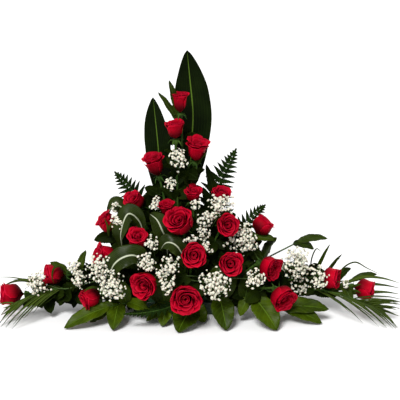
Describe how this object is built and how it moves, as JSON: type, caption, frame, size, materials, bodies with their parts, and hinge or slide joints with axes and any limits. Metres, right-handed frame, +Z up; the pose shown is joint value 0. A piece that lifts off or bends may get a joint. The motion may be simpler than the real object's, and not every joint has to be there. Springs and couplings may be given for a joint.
{
  "type": "pyramid rose centerpiece",
  "caption": "Low wide flower arrangement that rises to a central peak: red roses, baby's breath, tall and folded leaves, ferns, palm fronds and broad leaves in wet foam in a shallow tray.",
  "frame": {"origin": "middle of the tray's underside, on the table", "axes": "+X to the right of someone facing the arrangement, along its length; -Y to its front; +Z up"},
  "size_m": [0.938, 0.3886, 0.5958],
  "materials": {
    "red_petals": "velvety petals, soft sheen",
    "babys_breath": "matt white florets on thin green stalks",
    "stem_green": "satin green stems, hips and leaves",
    "dark_foliage": "glossy dark leaves with a paler midrib",
    "fern_foliage": "satin dark fronds",
    "palm_foliage": "satin narrow leaflets",
    "bright_foliage": "glossy broad leaves with pale veins",
    "wet_foam": "matt, finely porous, wet",
    "tray_plastic": "moulded, fine matt"
  },
  "bodies": {
    "root": {"tray": "tray_plastic", "foam": "wet_foam", "rose_stems_crown": "stem_green", "rose_stems_right_shoulder": "stem_green", "rose_stems_left_shoulder": "stem_green", "rose_stems_centre": "stem_green", "rose_stems_front": "stem_green", "rose_stems_left": "stem_green", "rose_stems_right": "stem_green", "bloom_01": "red_petals", "bloom_02": "red_petals", "bloom_03": "red_petals", "bloom_04": "red_petals", "bloom_05": "red_petals", "bloom_06": "red_petals", "bloom_07": "red_petals", "bloom_08": "red_petals", "bloom_09": "red_petals", "bloom_10": "red_petals", "bloom_11": "red_petals", "bloom_12": "red_petals", "bloom_13": "red_petals", "bloom_14": "red_petals", "bloom_15": "red_petals", "bloom_16": "red_petals", "bloom_17": "red_petals", "bloom_18": "red_petals", "bloom_19": "red_petals", "bloom_20": "red_petals", "bloom_21": "red_petals", "bloom_22": "red_petals", "bloom_23": "red_petals", "bloom_24": "red_petals", "bloom_25": "red_petals", "babys_breath_crown": "babys_breath", "babys_breath_upper_left": "babys_breath", "babys_breath_upper_right": "babys_breath", "babys_breath_centre": "babys_breath", "babys_breath_left_middle": "babys_breath", "babys_breath_front": "babys_breath", "babys_breath_right": "babys_breath", "babys_breath_left": "babys_breath", "babys_breath_back": "babys_breath", "aspidistra_tall_right": "dark_foliage", "aspidistra_tall_left": "dark_foliage", "aspidistra_loop_left": "dark_foliage", "aspidistra_loop_upper_left": "dark_foliage", "aspidistra_loop_centre": "dark_foliage", "aspidistra_loop_shoulder": "dark_foliage", "aspidistra_loop_front": "dark_foliage", "fern_right": "fern_foliage", "fern_left": "fern_foliage", "fern_side_right": "fern_foliage", "fern_front": "fern_foliage", "palm_right": "palm_foliage", "palm_left": "palm_foliage", "salal_front_left": "bright_foliage", "salal_front_right": "bright_foliage", "salal_right": "bright_foliage", "salal_back": "bright_foliage"}
  },
  "joints": []
}
